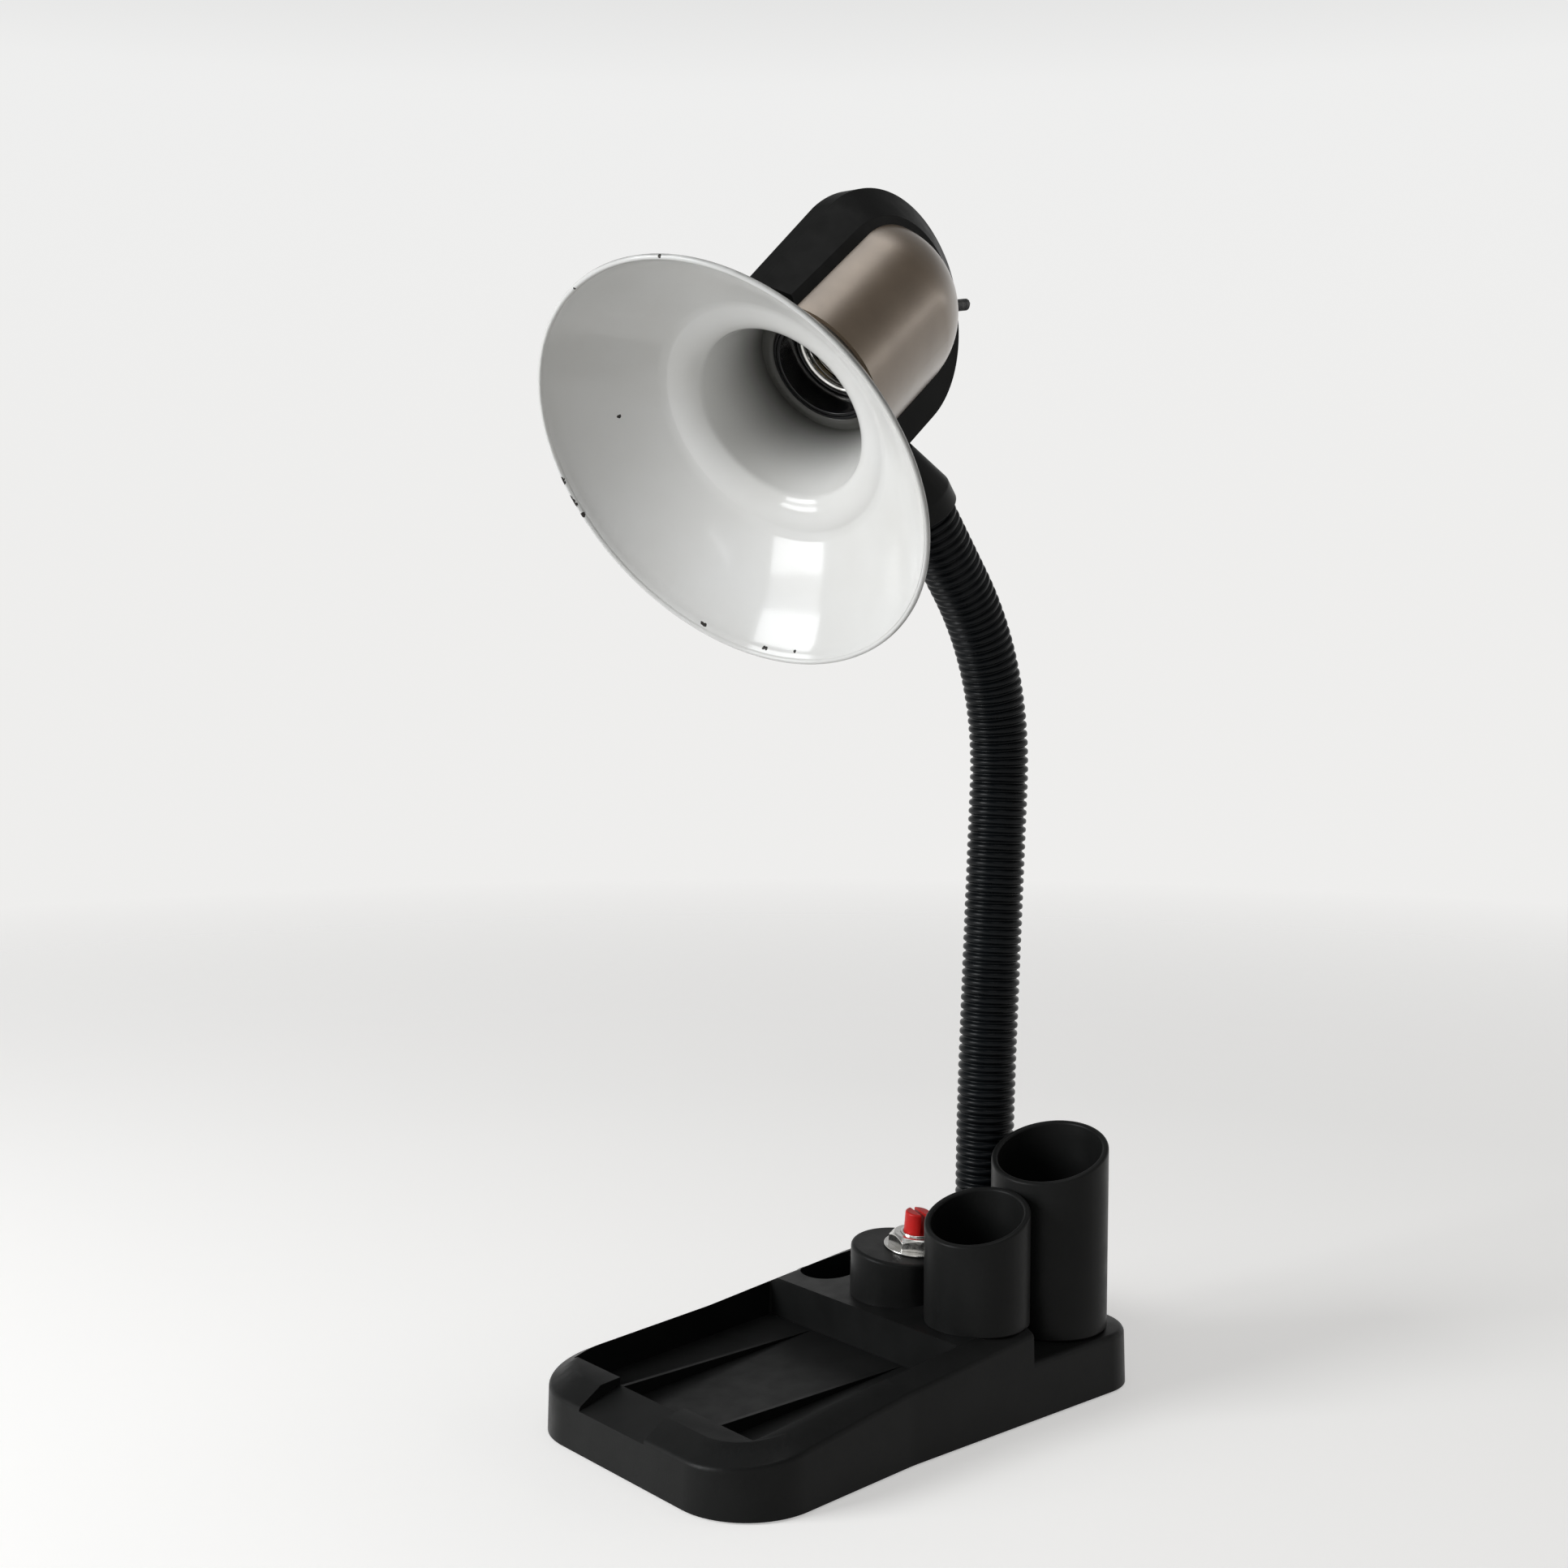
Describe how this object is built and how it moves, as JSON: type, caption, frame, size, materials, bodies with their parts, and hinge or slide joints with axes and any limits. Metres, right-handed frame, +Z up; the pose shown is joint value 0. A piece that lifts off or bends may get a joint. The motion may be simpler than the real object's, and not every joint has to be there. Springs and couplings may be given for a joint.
{
  "type": "desk lamp",
  "caption": "Desk lamp with a flared white shade on a ribbed flexible neck, standing on a black organiser base with a memo tray, pen cups and a rotary switch.",
  "frame": {"origin": "on the desk under the middle of the base", "axes": "+Z up, -Y towards the notched front of the base, +X towards the pen cups"},
  "size_m": [0.1356, 0.1879, 0.3767],
  "materials": {
    "black_base": "satin moulded black",
    "black_head": "satin moulded black",
    "black_inner": "plain black",
    "pad": "matt",
    "zinc": "zinc plated",
    "ballast_steel": "rolled",
    "grommet_rubber": "matt",
    "nickel": "bright plated",
    "red_plastic": "moulded red",
    "core_steel": "wound strip",
    "sleeve_black": "soft ribbed vinyl",
    "bronze": "bronze metallic paint",
    "white_enamel": "white enamel, chipped at the rim",
    "shell_metal": "nickel plated",
    "contact_brass": "plain"
  },
  "bodies": {
    "base": {"base_shell": "black_base", "short_pen_cup": "black_base", "tall_pen_cup": "black_base", "base_pad": "pad", "bottom_plate": "black_inner", "plate_screws": "zinc", "ballast_plate": "ballast_steel", "inlet_grommet": "grommet_rubber", "switch_body": "black_inner", "switch_bushing": "nickel", "switch_washer": "nickel", "switch_nut": "nickel", "neck_collar": "black_base", "neck_foot_washer": "zinc", "neck_foot_nut": "zinc", "neck_core_foot": "core_steel", "neck_sleeve_lower": "sleeve_black"},
    "switch_knob": {"switch_shaft": "red_plastic"},
    "neck_low": {"neck_core_lower": "core_steel", "neck_sleeve_middle": "sleeve_black"},
    "neck_high": {"neck_core_upper": "core_steel", "neck_sleeve_upper": "sleeve_black"},
    "head": {"neck_core_top": "core_steel", "neck_cap": "black_base", "head_stem_nut": "zinc", "head_housing": "black_head", "side_panel_right": "bronze", "side_panel_left": "bronze", "shade": "white_enamel", "holder_bridge": "black_inner", "lampholder_body": "black_inner", "lampholder_ring": "black_inner", "lamp_screw_shell": "shell_metal", "lamp_centre_contact": "contact_brass", "rear_screw": "zinc", "lead_clip": "black_inner"}
  },
  "joints": [
    {"name": "neck_lean", "type": "hinge", "parent": "base", "child": "neck_low", "pos_m": [-0.00405, 0.06755, 0.0735], "axis": [0.9866, 0.1633, 0], "range_deg": [-30, 30], "deforming": ["neck_sleeve_lower"]},
    {"name": "neck_sway", "type": "hinge", "parent": "neck_low", "child": "neck_high", "pos_m": [-0.00472, 0.07157, 0.15339], "axis": [0.163, -0.9849, 0.0584], "range_deg": [-30, 30], "deforming": ["neck_sleeve_middle"]},
    {"name": "neck_nod", "type": "hinge", "parent": "neck_high", "child": "head", "pos_m": [-0.00402, 0.06737, 0.23245], "axis": [0.9866, 0.1633, 0], "range_deg": [-30, 30], "deforming": ["neck_sleeve_upper"]},
    {"name": "switch_turn", "type": "hinge", "parent": "base", "child": "switch_knob", "pos_m": [-0.00162, 0.03254, 0.04386], "axis": [0.111, 0.0097, 0.9938], "continuous": true}
  ]
}
